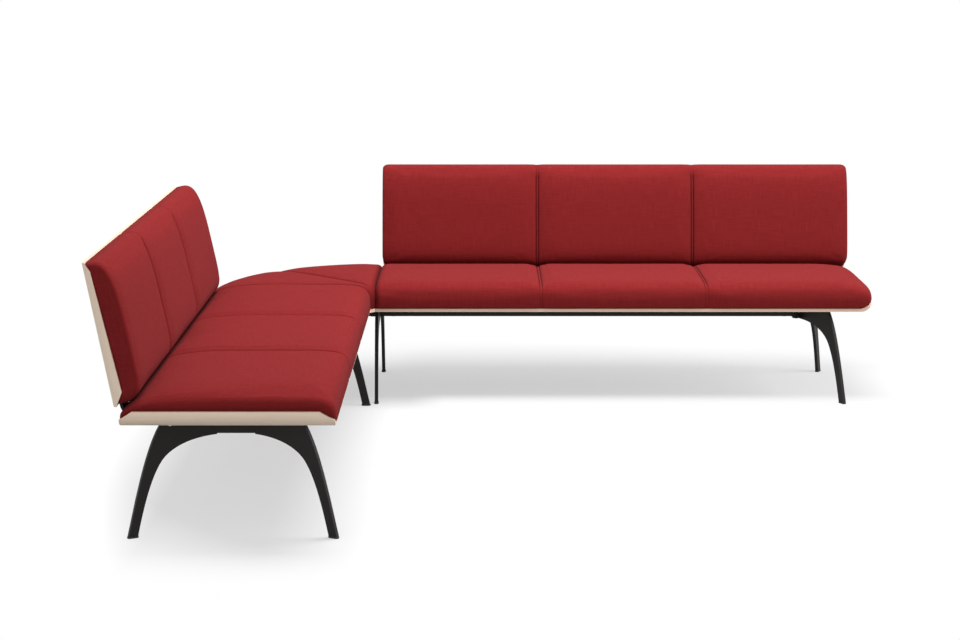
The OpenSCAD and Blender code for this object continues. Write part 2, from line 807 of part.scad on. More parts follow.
module corner_beam() {
    color(metal) difference() {
        translate([-joint_l / 2 - corner_beam_l, beam_y, beam_top - beam_h])
            tube(corner_beam_l, beam_w, beam_h, beam_wall);
        translate([-nose, 0, 0]) rotate([0, 0, 135]) translate([0, 0, beam_top - beam_h - 1])
            cube([2 * corner_r, corner_r, beam_h + 2]);
        corner_beam_bolt_holes();
        translate([-nose, 0, 0]) corner_bar_bolt_spots() bar_bolt_hole();
    }
}

module corner_beam_left() {
    left_bench() corner_beam();
}

module corner_beam_right() {
    right_bench() corner_beam();
}

module corner_beam_bolts() {
    color(zinc) {
        left_bench() for (side = [-1, 1])
            translate([corner_bolt_x, beam_y + side * beam_w / 4, beam_top - beam_h]) beam_bolt();
        right_bench() for (side = [-1, 1])
            translate([corner_bolt_x, beam_y + side * beam_w / 4, beam_top - beam_h]) beam_bolt();
    }
}

module on_diagonal() {
    translate([-beam_y, beam_y, 0]) rotate([0, 0, 135]) children();
}

module corner_bar_spots() {
    on_diagonal() for (end = [-1, 1], side = [-1, 1])
        translate([end * (beam_w / 2 + bar_w), side * bar_w / 4, 0]) children();
}

// Two bolts into each of the beams, on both sides of their mitre
module corner_bar_bolt_spots() {
    on_diagonal() for (end = [-1, 1], side = [-1, 1])
        translate([end * beam_w / 4, side * bar_w / 4, seat_z]) children();
}

module corner_bar_bolts() {
    color(zinc) plan() corner_bar_bolt_spots() bar_bolt();
}

module corner_bar_holes(z, h, r) {
    corner_bar_spots() translate([0, 0, z]) cylinder(h = h, r = r, $fn = 32);
}

module corner_cross_bar() {
    length = beam_w + 3 * bar_w;
    color(metal) plan() difference() {
        on_diagonal() translate([-length / 2, -bar_w / 2, seat_z - bar_t]) cube([length, bar_w, bar_t]);
        corner_bar_spots() translate([0, 0, seat_z - bar_t - 1])
            cylinder(h = bar_t + 2, r = screw_d / 2 + hole_fit, $fn = 32);
        corner_bar_bolt_spots() bar_bolt_hole();
    }
}

module corner_screws() {
    color(zinc) plan() corner_bar_spots() translate([0, 0, seat_z - bar_t]) wood_screw(bar_t);
}

left_bench() seat_shell();  // left_seat_shell
left_bench() back_shell();  // left_back_shell
left_bench() seat_cushion();  // left_seat_cushion
left_bench() back_cushion();  // left_back_cushion
left_bench() beam();  // left_beam
left_bench() end_block();  // left_end_block
left_bench() end_leg_front();  // left_end_leg_front
left_bench() end_leg_rear();  // left_end_leg_rear
left_bench() joint_block();  // left_joint_block
left_bench() joint_leg_front();  // left_joint_leg_front
left_bench() joint_leg_rear();  // left_joint_leg_rear
left_bench() outer_bracket();  // left_outer_bracket
left_bench() middle_bracket();  // left_middle_bracket
left_bench() inner_bracket();  // left_inner_bracket
left_bench() outer_cross_bar();  // left_outer_cross_bar
left_bench() middle_cross_bar();  // left_middle_cross_bar
left_bench() inner_cross_bar();  // left_inner_cross_bar
left_bench() bracket_plates();  // left_bracket_plates
left_bench() glides();  // left_glides
left_bench() shell_screws();  // left_shell_screws
left_bench() bracket_bolts();  // left_bracket_bolts
left_bench() leg_bolts();  // left_leg_bolts
left_bench() beam_bolts();  // left_beam_bolts
left_bench() bar_bolts();  // left_bar_bolts
right_bench() seat_shell();  // right_seat_shell
right_bench() back_shell();  // right_back_shell
right_bench() seat_cushion();  // right_seat_cushion
right_bench() back_cushion();  // right_back_cushion
right_bench() beam();  // right_beam
right_bench() end_block();  // right_end_block
right_bench() end_leg_front();  // right_end_leg_front
right_bench() end_leg_rear();  // right_end_leg_rear
right_bench() joint_block();  // right_joint_block
right_bench() joint_leg_front();  // right_joint_leg_front
right_bench() joint_leg_rear();  // right_joint_leg_rear
right_bench() outer_bracket();  // right_outer_bracket
right_bench() middle_bracket();  // right_middle_bracket
right_bench() inner_bracket();  // right_inner_bracket
right_bench() outer_cross_bar();  // right_outer_cross_bar
right_bench() middle_cross_bar();  // right_middle_cross_bar
right_bench() inner_cross_bar();  // right_inner_cross_bar
right_bench() bracket_plates();  // right_bracket_plates
right_bench() glides();  // right_glides
right_bench() shell_screws();  // right_shell_screws
right_bench() bracket_bolts();  // right_bracket_bolts
right_bench() leg_bolts();  // right_leg_bolts
right_bench() beam_bolts();  // right_beam_bolts
right_bench() bar_bolts();  // right_bar_bolts
plan() corner_seat_shell();
plan() corner_seat_cushion();
corner_beam_left();
corner_beam_right();
corner_cross_bar();
corner_screws();
corner_beam_bolts();
corner_bar_bolts();
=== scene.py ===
import math

import bmesh
import bpy
import numpy as np
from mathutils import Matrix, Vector


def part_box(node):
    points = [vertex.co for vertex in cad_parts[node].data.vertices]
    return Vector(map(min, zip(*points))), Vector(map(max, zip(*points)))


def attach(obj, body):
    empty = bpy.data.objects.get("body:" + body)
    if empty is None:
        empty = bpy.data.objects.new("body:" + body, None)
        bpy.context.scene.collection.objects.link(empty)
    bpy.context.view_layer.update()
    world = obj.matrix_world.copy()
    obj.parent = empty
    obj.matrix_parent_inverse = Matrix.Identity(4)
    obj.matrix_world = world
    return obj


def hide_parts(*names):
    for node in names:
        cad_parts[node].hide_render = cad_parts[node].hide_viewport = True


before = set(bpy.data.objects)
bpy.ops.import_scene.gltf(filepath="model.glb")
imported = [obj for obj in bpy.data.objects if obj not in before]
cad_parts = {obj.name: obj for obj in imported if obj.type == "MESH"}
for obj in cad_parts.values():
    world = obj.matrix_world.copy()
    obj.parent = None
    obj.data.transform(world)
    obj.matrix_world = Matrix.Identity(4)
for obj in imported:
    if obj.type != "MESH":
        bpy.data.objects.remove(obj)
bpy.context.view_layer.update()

# Plywood shells. The seats and backs are moulded beech plywood, nine plies to 12 mm, with
# bent-up ends that are cut on a slant. The veneer's grain follows the bend axis, the edges
# are sanded round and left clear, and the corner seat's shell is a flat quarter disc.
ply_t = 0.012
plies = 9
bend_r = 0.040
bench_l = 1.8
shell_gap = 0.001
seat_z = 0.343
seat_d = 0.600
back_y = 0.618
back_z = 0.398
lean = math.radians(10.5)
nose_x = 0.020
sanded_edge = 0.0014

# Points of a solid that are closer than this are joined, faces that turn by less than the
# first angle are one face, and edges that turn by more than the second are eased
weld = 2e-5
flat_turn = math.radians(0.6)
sharp_turn = math.radians(32)

# The veneers of the backs and the corner seat come from other places along the log
back_veneer = 3.0
corner_veneer = 7.0

# The right bench runs along +X from the corner seat, and the left one is its mirror image
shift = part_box("right_seat_shell")[0].y
start_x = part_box("right_seat_shell")[1].x - bench_l
bench_start = np.array([start_x, shift, 0.0])
corner_x = start_x - nose_x


def across_diagonal(points):
    """The mirror image on the row's diagonal, which turns one bench into the other."""
    return np.stack([-points[:, 1], -points[:, 0], points[:, 2]], axis=1)


def bench_coords(points, side):
    """Places in the row given along the bench, across it and up."""
    if side == "left":
        points = across_diagonal(points)
    return points - bench_start


def back_coords(points):
    """Bench coordinates given along the bench, up the slope of the back and out of it."""
    y, z = points[:, 1] - back_y, points[:, 2] - back_z
    up = y * math.sin(lean) + z * math.cos(lean)
    out = z * math.sin(lean) - y * math.cos(lean)
    return np.stack([points[:, 0], up, out], axis=1)


def eased(node, name, width, finish, steps=2):
    """A piece over a CAD solid, with its sharp edges eased as sanding or casting leaves them."""
    shape = bmesh.new()
    shape.from_mesh(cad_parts[node].data)
    bmesh.ops.remove_doubles(shape, verts=shape.verts, dist=weld)
    bmesh.ops.dissolve_limit(shape, angle_limit=flat_turn, verts=shape.verts, edges=shape.edges)
    sharp = [e for e in shape.edges if len(e.link_faces) == 2 and e.calc_face_angle() > sharp_turn]
    bmesh.ops.bevel(shape, geom=sharp, offset=width, segments=steps, profile=0.5,
                    affect="EDGES", clamp_overlap=True)
    bmesh.ops.triangulate(shape, faces=[f for f in shape.faces if len(f.verts) > 4])
    mesh = bpy.data.meshes.new(name)
    shape.to_mesh(mesh)
    shape.free()
    mesh.shade_smooth()
    mesh.materials.append(finish)
    piece = bpy.data.objects.new(name, mesh)
    bpy.context.scene.collection.objects.link(piece)
    weigh = piece.modifiers.new("flat faces lead", "WEIGHTED_NORMAL")
    weigh.weight = 60
    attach(piece, "root")
    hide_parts(node)
    return piece


class Socket:
    """A value in a material's node tree. Its operators add Math nodes, and node() adds any other."""

    def __init__(self, tree, output=None):
        self.tree = tree
        self.output = output

    def node(self, kind, settings=None, values=None, output=0):
        made = self.tree.nodes.new("ShaderNode" + kind)
        for key, setting in (settings or {}).items():
            setattr(made, key, setting)
        for key, value in (values or {}).items():
            if isinstance(value, Socket):
                self.tree.links.new(value.output, made.inputs[key])
            else:
                made.inputs[key].default_value = value
        return Socket(self.tree, made.outputs[output])

    def maths(self, operation, *operands):
        return self.node("Math", {"operation": operation}, dict(enumerate(operands)))

    def __add__(self, other):
        return self.maths("ADD", self, other)

    __radd__ = __add__

    def __sub__(self, other):
        return self.maths("SUBTRACT", self, other)

    def __rsub__(self, other):
        return self.maths("SUBTRACT", other, self)

    def __mul__(self, other):
        return self.maths("MULTIPLY", self, other)

    __rmul__ = __mul__

    def __pow__(self, other):
        return self.maths("POWER", self, other)

    def sine(self):
        return self.maths("SINE", self)

    def absolute(self):
        return self.maths("ABSOLUTE", self)

    def floor(self):
        return self.maths("FLOOR", self)

    def fraction(self):
        return self.maths("FRACT", self)

    def limited(self):
        return self.node("Clamp", {}, {"Value": self})

    def blend(self, low, high):
        """A colour between two, by this value."""
        return self.node("Mix", {"data_type": "RGBA"}, {"Factor": self, 6: low, 7: high}, 2)

    def noise(self, vector, scale, detail=2.0, roughness=0.5):
        return self.node("TexNoise", {}, {"Vector": vector, "Scale": scale, "Detail": detail,
                                          "Roughness": roughness})

    def vector(self, x, y, z):
        return self.node("CombineXYZ", {}, {"X": x, "Y": y, "Z": z})

    def parts(self, vector):
        return [self.node("SeparateXYZ", {}, {"Vector": vector}, axis) for axis in range(3)]

    def stored(self, name):
        """The three numbers that every point of a mesh stores under a name."""
        return self.parts(self.node("Attribute", {"attribute_name": name}, {}, "Vector"))

    def place(self):
        """The place of every point of the surface, in metres."""
        return self.node("NewGeometry", {}, {}, "Position")

    def bump(self, height, distance):
        return self.node("Bump", {}, {"Height": height, "Distance": distance})


def new_finish(name, **surface):
    """A material with one shader, whose plain numbers are set on its sockets. Gives the
    material, its node tree and the shader."""
    finish = bpy.data.materials.new(name)
    finish.use_nodes = True
    tree = finish.node_tree
    shader = tree.nodes["Principled BSDF"]
    for key, value in surface.items():
        shader.inputs[key.replace("_", " ")].default_value = value
    return finish, Socket(tree), shader


def feed(tree, shader, **links):
    for key, value in links.items():
        tree.tree.links.new(value.output, shader.inputs[key.replace("_", " ")])


def beech_plywood(name):
    """Clear-lacquered beech: run along the grain, across it, and depth below the skin, in metres."""
    finish, tree, shader = new_finish(name, IOR=1.45)
    run, across, depth = tree.stored("ply")
    figure = tree.noise(tree.vector(run * 1.1, across * 9.0, depth * 30.0), 1.0, 3.0, 0.55)
    bands = (figure * 60.0).sine() * 0.5 + 0.5
    fibre = tree.noise(tree.vector(run * 16.0, across * 520.0, depth * 300.0), 1.0, 5.0, 0.65)
    flecks = tree.noise(tree.vector(run * 130.0, across * 1500.0, depth * 900.0), 1.0, 2.0, 0.5)
    flecks = ((flecks - 0.60) * 9.0).limited()
    tone = (bands * 0.26 + fibre * 0.74).limited()
    heart = tone.blend((0.920, 0.745, 0.590, 1), (0.810, 0.640, 0.495, 1))
    heart = (flecks * 0.30).blend(heart, (0.500, 0.350, 0.235, 1))

    # On the cut edges every second ply shows its end grain, and a dark glue line parts the plies
    layers = depth * (plies / ply_t)
    crossed = (layers.floor() * 0.5).fraction() * 2.0
    glue = (((layers.fraction() - 0.5).absolute() - 0.44) * 12.0).limited()
    skin_mm = 0.35
    below_top = ((depth * 1000.0 - skin_mm) * 6.0).limited()
    above_foot = ((ply_t * 1000.0 - skin_mm - depth * 1000.0) * 6.0).limited()
    inside = below_top * above_foot
    end_grain = tree.noise(tree.vector(run * 1800.0, across * 1800.0, depth * 1800.0), 1.0, 2.0, 0.6)
    wood = (crossed * inside * (0.30 + end_grain * 0.35)).blend(heart, (0.600, 0.440, 0.310, 1))
    wood = (inside * 0.5).blend(wood, (0.840, 0.550, 0.380, 1))
    wood = (glue * inside * 0.55).blend(wood, (0.400, 0.270, 0.180, 1))
    pores = fibre * 0.7 - flecks * 0.5 - crossed * inside * end_grain * 0.8
    feed(tree, shader, Base_Color=wood, Roughness=0.40 + fibre * 0.16,
         Normal=tree.bump(pores, 0.00012))
    return finish


beech = beech_plywood("beech plywood")


def set_ply(piece, along, across, depth):
    """Stores the veneer's own coordinates on every point."""
    ply = piece.data.attributes.new("ply", "FLOAT_VECTOR", "POINT")
    values = np.stack([along, across, depth], axis=1)
    ply.data.foreach_set("vector", values.ravel().astype(np.float32))


def points_of(piece):
    flat = np.zeros(len(piece.data.vertices) * 3)
    piece.data.vertices.foreach_get("co", flat)
    return flat.reshape(-1, 3)


def bent_depth(end, height):
    """Depth below the outer skin of a sheet that turns up by a quarter circle at its end."""
    return bend_r - np.hypot(np.maximum(bend_r - end, 0), np.maximum(bend_r - height, 0))


for side in ("left", "right"):
    shell = eased(f"{side}_seat_shell", f"{side}_seat_plywood", sanded_edge, beech)
    x, y, z = bench_coords(points_of(shell), side).T
    depth = bent_depth(bench_l - x, z - seat_z)
    set_ply(shell, y, x + z, depth)

    shell = eased(f"{side}_back_shell", f"{side}_back_plywood", sanded_edge, beech)
    x, up, out = back_coords(bench_coords(points_of(shell), side)).T
    depth = bent_depth(np.minimum(x - shell_gap / 2, bench_l - x), out)
    set_ply(shell, up + back_veneer, x + out * np.sign(x - bench_l / 2), depth)

shell = eased("corner_seat_shell", "corner_seat_plywood", sanded_edge, beech)
x, y, z = points_of(shell).T
set_ply(shell, x + y + corner_veneer, x - y, z - seat_z)

# Steel frame. A rectangular tube runs under each bench, cast blocks close its ends and carry
# curved cast legs, and bent flat bars hold the backs. All of it has one dark, fine-textured
# powder coat.
cast_edge = 0.0018
tube_edge = 0.0022
bar_edge = 0.0008


def powder_coat(name):
    finish, tree, shader = new_finish(name, IOR=1.5, Specular_IOR_Level=0.22)
    place = tree.place()
    peel = tree.noise(place, 900.0, 2.0, 0.5)
    grain = tree.noise(place, 2600.0, 1.0, 0.5)
    cloud = tree.noise(place, 14.0, 3.0, 0.5)
    tone = cloud * 0.7 + grain * 0.3
    coat = tone.blend((0.0085, 0.0073, 0.0062, 1), (0.0150, 0.0132, 0.0116, 1))
    feed(tree, shader, Base_Color=coat, Roughness=0.40 + peel * 0.14 + cloud * 0.06,
         Normal=tree.bump(peel * 0.7 + grain * 0.3, 0.00016))
    return finish


charcoal = powder_coat("charcoal powder coat")


def coated(node, name, edge, steps=2):
    """A coated steel piece of the frame, with eased edges."""
    eased(node, name, edge, charcoal, steps)


for side in ("left", "right"):
    for leg in ("end_leg_front", "end_leg_rear", "joint_leg_front", "joint_leg_rear"):
        coated(f"{side}_{leg}", f"{side}_{leg}_casting", cast_edge, 3)
    for block in ("end_block", "joint_block"):
        coated(f"{side}_{block}", f"{side}_{block}_casting", cast_edge)
    coated(f"{side}_beam", f"{side}_beam_tube", tube_edge, 3)
    coated(f"corner_beam_{side}", f"corner_beam_{side}_tube", bar_edge)
    for spot in ("outer", "middle", "inner"):
        coated(f"{side}_{spot}_bracket", f"{side}_{spot}_bent_bar", bar_edge)
        coated(f"{side}_{spot}_cross_bar", f"{side}_{spot}_flat_bar", bar_edge)
    coated(f"{side}_bracket_plates", f"{side}_backing_plates", bar_edge)
coated("corner_cross_bar", "corner_flat_bar", bar_edge)

# Screws and bolts. They are zinc-plated steel with a soft blue-grey shine, and hold the shells
# on their bars, the legs on the blocks and the blocks in the tubes.
plated, tree, shader = new_finish("zinc plating", Metallic=1.0)
place = tree.place()
bloom = tree.noise(place, 260.0, 3.0, 0.6)
turned = tree.noise(place, 1900.0, 1.0, 0.5)
feed(tree, shader, Base_Color=bloom.blend((0.40, 0.42, 0.44, 1), (0.62, 0.62, 0.60, 1)),
     Roughness=0.28 + bloom * 0.20, Normal=tree.bump(turned, 0.00005))

for node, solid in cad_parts.items():
    if node.endswith("bolts") or node.endswith("screws"):
        solid.data.materials.clear()
        solid.data.materials.append(plated)

# Glides. Black moulded plastic shoes with rounded rims are pushed on under the eight feet.
shoe_edge = 0.0012
moulded, tree, shader = new_finish("black moulded plastic", IOR=1.46)
spark = tree.noise(tree.place(), 1500.0, 2.0, 0.6)
feed(tree, shader, Base_Color=spark.blend((0.008, 0.008, 0.008, 1), (0.016, 0.016, 0.016, 1)),
     Roughness=0.46 + spark * 0.18, Normal=tree.bump(spark, 0.00008))
for side in ("left", "right"):
    eased(f"{side}_glides", f"{side}_glide_shoes", shoe_edge, moulded)

# Upholstery cloth. A red wool cloth in a fine plain weave covers moulded foam. Threads of
# slightly different reds run both ways in it, and a short nap catches light at low angles.
yarn = 0.0011


def wool_cloth(name):
    """The cloth's own coordinates run along the bench and round the pad. The third number is small in
    the seams, the folds and the joints, where shade is painted darker into the cloth's colour."""
    finish, tree, shader = new_finish(
        name, IOR=1.4, Specular_IOR_Level=0.0, Sheen_Weight=0.030, Sheen_Roughness=0.5,
        Sheen_Tint=(1.0, 0.80, 0.84, 1))
    run, girth, seam = tree.stored("cloth")
    warp = (run * (math.pi / yarn)).sine()
    weft = (girth * (math.pi / yarn)).sine()
    weave = (warp * weft * 0.5 + 0.5) * 0.6 + (warp * warp + weft * weft) * 0.2
    fleece = tree.noise(tree.vector(run, girth, 0.0), 900.0, 3.0, 0.6)
    weft_slub = tree.noise(tree.vector(run * 16.0, girth * 260.0, 0.0), 1.0, 2.0, 0.5)
    warp_slub = tree.noise(tree.vector(run * 260.0, girth * 16.0, 3.0), 1.0, 2.0, 0.5)
    tone = ((fleece * 0.30 + weft_slub * 0.35 + warp_slub * 0.35 - 0.5) * 2.4 + 0.5).limited()
    red = tone.blend((0.150, 0.0105, 0.0110, 1), (0.222, 0.0205, 0.0215, 1))
    # Painted shade: the red darkens towards the stitches, the fold between seat and back and the
    # joints, where shade falls
    painted_shade = (1.0 - seam * 550.0).limited()
    red = (painted_shade * 0.55).blend(red, (0.050, 0.0012, 0.0016, 1))
    feed(tree, shader, Base_Color=red, Roughness=0.80 + fleece * 0.12,
         Normal=tree.bump(weave * 0.6 + fleece * 0.4, 0.00022))
    return finish


wool = wool_cloth("red wool cloth")

# Seat cushions. Each bench has one foam pad over its shell, sewn into three places by double
# seams. Its front stands square and just over the shell's edge, its rear falls away under the
# back, its free end fills the bent plywood, and its other end rolls down to the corner seat.
seat_top = seat_z + ply_t
seat_pad_h = 0.094
place_w = 0.600
pad_fit = 0.0005
overhang = 0.004

# The pad's own form: its upright foot, the draw and roll at its bent ends, and the roll and
# draw where two modules meet
tuck = 0.001
side_wall = 0.014
end_draw = 0.014
end_round = 0.024
joint_roll = 0.018
joint_draw = 0.008

# How far over the sheet's rim, from the pad's foot and from its end the pad is drawn in
rim_reach = 0.018
foot_reach = 0.050
end_reach = 0.034

# The seams: half the width of the raised band, the reach of the soft shoulders, the depth of
# the groove, the rise of the band in it, and how far and how widely the stitches pull
seams = [place_w, 2 * place_w]
band = 0.0048
shoulder = 0.046
groove = 0.0085
band_rise = 0.0012
stitch_pull = 0.0042
stitch_w = 0.0015

# The back's bars in the foam: how far the outer ones are from the bench's ends, half their
# width with its clearance, the step beside each of their edges, the least distance of other
# stations from the edges, and the slack by which a station still counts as on a bar
bar_in = 0.102
bars = [bar_in, bench_l / 2, bench_l - bar_in]
bar_half = 0.0405
bar_step = 0.003
bar_clear = 0.0025
bar_slack = 0.001

# Points round the skin, places along the pad, and the rings that close each end
columns = 62
turn_points = 500
wall_points = 12
station_step = 0.016
cap_rings = (0.03, 0.12, 0.26, 0.45)

# How fast painted shade darkens the cloth towards stitches, towards the fold between seat and back, and
# towards the joint of two modules, the share of a seam's depth below which its painted dark line is
# faint, and the value that stands for no seam near
stitch_shade = 0.6
crease_shade = 0.2
joint_shade = 0.10
faint_share = 0.6
no_seam = 0.1

# The swelling: the strip held beside a seam and the way from it to full freedom, the same at
# the pad's ends, the skirt over the lower edges and the share of it that is held fast, the
# most that a point may move, and the frames of the simulation
held_seam = 0.012
held_fade = 0.03
held_end = 0.004
held_end_fade = 0.02
skirt = 0.04
skirt_fast = 0.3
swell_most = 0.003
swell_frames = 20

# The seat's pad and the back's press on each other along a plane at 45 degrees, where y + z
# has one value, and both have a rounded mouth there
meet_fit = 0.001
meet_round = 0.006
meet = seat_d + seat_top + (back_y - seat_d) * math.sqrt(2) + meet_fit


def roll(near, length, power):
    """Fall of a rounded edge, from 1 at the edge to 0 at the roll's length from it."""
    part = np.clip((length - np.clip(near, 0, None)) / length, 0, 1)
    return 1 - (1 - part ** power) ** (1 / power)


def sheet_rise(end, across, edge_line):
    """Height of a bent sheet's inner face at a distance from its end, up to its trimmed edge."""
    inner = bend_r - ply_t
    drop = np.clip(bend_r - end, 0, inner)
    bend = np.where(end <= ply_t, 1.0, inner - np.sqrt(inner ** 2 - drop ** 2))
    return np.where(end < bend_r, np.minimum(bend, np.interp(across, *edge_line)) + pad_fit, 0)


def tucked_in(points, low, bent_low, edge_line, depth, corner):
    """Draws a pad's ends in just over the bent sheet, so that its rim shows, and lets them
    bulge out again above it. A back's ends are also rounded at the foot."""
    x, across, height = points.T
    far = bench_l - x
    end = np.minimum(far, x - low) if bent_low else far
    over = np.clip(height - sheet_rise(end, across, edge_line), 0, None)
    draw = depth * np.clip(1 - over / rim_reach, 0, 1) ** 2
    draw = np.maximum(draw, corner * np.clip(1 - across / foot_reach, 0, 1) ** 2)
    move = draw * np.clip(1 - end / end_reach, 0, 1)
    return points + np.stack([np.where(far <= end + 1e-9, -move, move), 0 * x, 0 * x], axis=1)


def evenly(points, count):
    """Points along an open line, spaced evenly."""
    run = np.concatenate([[0], np.cumsum(np.linalg.norm(np.diff(points, axis=0), axis=1))])
    where = np.linspace(0, run[-1], count)
    return np.stack([np.interp(where, run, points[:, k]) for k in range(points.shape[1])], axis=1)


def pad_section(depth, top, inset, powers, slope, floor, under):
    """One cross-section of a pad: its skin from the near lower edge to the far one, and then
    its underside back again, both on or above the floor. Each side is a superellipse with one
    power across and one upwards."""
    half = depth / 2 - inset
    foot = tuck + 0.2 * inset
    turn = np.linspace(0, math.pi, turn_points)
    wide, high = (np.where(turn < math.pi / 2, *pair) for pair in zip(*powers))
    c = np.abs(np.cos(turn)) ** (2 / wide)
    s = np.clip(np.sin(turn), 0, 1) ** (2 / high)
    across = depth / 2 - np.sign(np.cos(turn)) * half * c
    height = side_wall + (top - side_wall + slope * (0.5 - across / depth)) * s
    rise = np.linspace(0, 1, wall_points, endpoint=False)
    wall = foot + (inset - foot) * rise
    across = np.concatenate([wall, across, depth - wall[::-1]])
    height = np.concatenate([side_wall * rise, height, side_wall * rise[::-1]])
    clear = np.nonzero(height >= floor(across) - 1e-6)[0]
    skin = evenly(np.stack([across, height], axis=1)[clear[0]:clear[-1] + 1], columns)
    below = np.array(under[::-1])
    return skin, np.stack([below, floor(below)], axis=1)


def stations(ends, step):
    """Places along a pad: close together at its ends, at its seams and beside the back's bars."""
    by_seam = [0, 0.0012, 0.0024, 0.0035, 0.0043, band, 0.0053, 0.0062, 0.0076, 0.0095, 0.0125,
               0.0165, 0.0220, 0.029, 0.037, shoulder]
    by_end = [0, 0.0005, 0.0016, 0.0034, 0.006, 0.0092, 0.0117, 0.0123, 0.0148, 0.0185, 0.0235,
              0.030, 0.040, 0.052, 0.066, 0.082, 0.100]
    marks = sorted({*ends, *seams})
    found = []
    for a, b in zip(marks, marks[1:]):
        first = [a + d for d in (by_seam if a in seams else by_end)]
        second = [b - d for d in (by_seam if b in seams else by_end)]
        inner = second[-1] - first[-1]
        count = max(2, round(inner / step))
        found += first + [first[-1] + inner * k / count for k in range(1, count)] + second[::-1]
    edges = [b + side * d for b in bars for side in (-1, 1) for d in (bar_half, bar_half + bar_step)]
    found = [f for f in found if min(abs(f - e) for e in edges) > bar_clear or f in marks] + edges
    return np.array(sorted({round(f, 7) for f in found}))


def seam_depth(away):
    """How far the cloth is drawn in beside a double seam: soft shoulders, two tight stitch
    lines and a narrow raised band between them."""
    outside = groove * roll(np.clip(away - band, 0, None), shoulder - band, 2.0)
    inside = groove - band_rise * (1 - np.clip(away / band, 0, 1) ** 2)
    pull = stitch_pull * np.exp(-np.abs(away - band) / stitch_w)
    return np.where(away > band, outside, inside) + pull


def grid_normals(grid):
    """Outward unit normals of a surface given as a grid of points."""
    normal = np.cross(np.gradient(grid, axis=0), np.gradient(grid, axis=1))
    return normal / np.maximum(np.linalg.norm(normal, axis=2, keepdims=True), 1e-12)


def run_of(grid):
    """Distance of every point from the near edge of the skin, over the skin."""
    steps = np.linalg.norm(np.diff(grid, axis=1), axis=2)
    return np.concatenate([np.zeros((len(grid), 1)), np.cumsum(steps, axis=1)], axis=1)


def closed_skin(name, grid, low, cloth):
    """A closed mesh: the skin, the underside and a cap at each end, with creases where the pad
    lies on its sheet. Rings inside each cap keep its rim in form."""
    rows = len(grid)
    ring = np.concatenate([grid, low], axis=1)
    loop = ring.shape[1]
    last = (rows - 1) * loop
    level = np.array([1, 1, 0])

    def hoop(first, second):
        """Faces between two closed rows of points, given by the first point of each."""
        return [(first + k, first + (k + 1) % loop, second + (k + 1) % loop, second + k)
                for k in range(loop)]

    points = [ring.reshape(-1, 3)]
    marks = [np.concatenate([cloth, low * level + [0, 0, no_seam]], axis=1).reshape(-1, 3)]
    faces = [face for row in range(rows - 1) for face in hoop(row * loop, (row + 1) * loop)]
    for row, start in ((0, 0), (-1, last)):
        rim = ring[row]
        flat = (rim[columns - 1] - rim[0]) * level
        long = np.linalg.norm(flat)
        along = (rim - rim[0]) @ flat / long
        low_z, high_z = rim[:, 2].min(), rim[:, 2].max()
        middle = np.clip(along, (high_z - low_z) / 2, long - (high_z - low_z) / 2)
        core = rim[0] * level + middle[:, None] * flat / long + [0, 0, (low_z + high_z) / 2]
        for inward in cap_rings:
            first = sum(map(len, points))
            inner = rim + inward * (core - rim)
            inner_run = (inner - rim[0]) @ flat / long
            points.append(inner)
            marks.append(np.stack([inner_run, inner[:, 2], 0 * middle + no_seam], axis=1))
            faces += hoop(start, first)
            start = first
        faces.append(tuple(range(start, start + loop)))
    mesh = bpy.data.meshes.new(name)
    mesh.from_pydata([tuple(p) for p in np.concatenate(points)], [], faces)
    shape = bmesh.new()
    shape.from_mesh(mesh)
    shape.verts.ensure_lookup_table()
    bmesh.ops.recalc_face_normals(shape, faces=shape.faces)
    crease = shape.edges.layers.float.new("crease_edge")
    feet = (0, columns - 1)
    creased = [(row * loop + k, (row + 1) * loop + k) for row in range(rows - 1) for k in feet]
    creased += [(start + k, start + (k + 1) % loop)
                for start in (0, last) for k in range(columns - 1, loop)]
    for a, b in creased:
        shape.edges.get([shape.verts[a], shape.verts[b]])[crease] = 1.0
    bmesh.ops.triangulate(shape, faces=[f for f in shape.faces if len(f.verts) > 4])
    shape.to_mesh(mesh)
    shape.free()
    values = mesh.attributes.new("cloth", "FLOAT_VECTOR", "POINT")
    values.data.foreach_set("vector", np.concatenate(marks).ravel())
    mesh.shade_smooth()
    mesh.materials.append(wool)
    piece = bpy.data.objects.new(name, mesh)
    bpy.context.scene.collection.objects.link(piece)
    return piece


def freedom(from_seam, over):
    """Each point's share of freedom: none in a seam or at a lower edge, and all on the crown."""
    from_edge = np.minimum(over, over[:, -1:] - over)
    beside_seam = np.clip((from_seam - held_seam) / held_fade, 0, 1)
    return beside_seam * np.clip(from_edge / skirt - skirt_fast, 0, 1)


def set_points(piece, points):
    piece.data.vertices.foreach_set("co", points.ravel())
    piece.data.update()


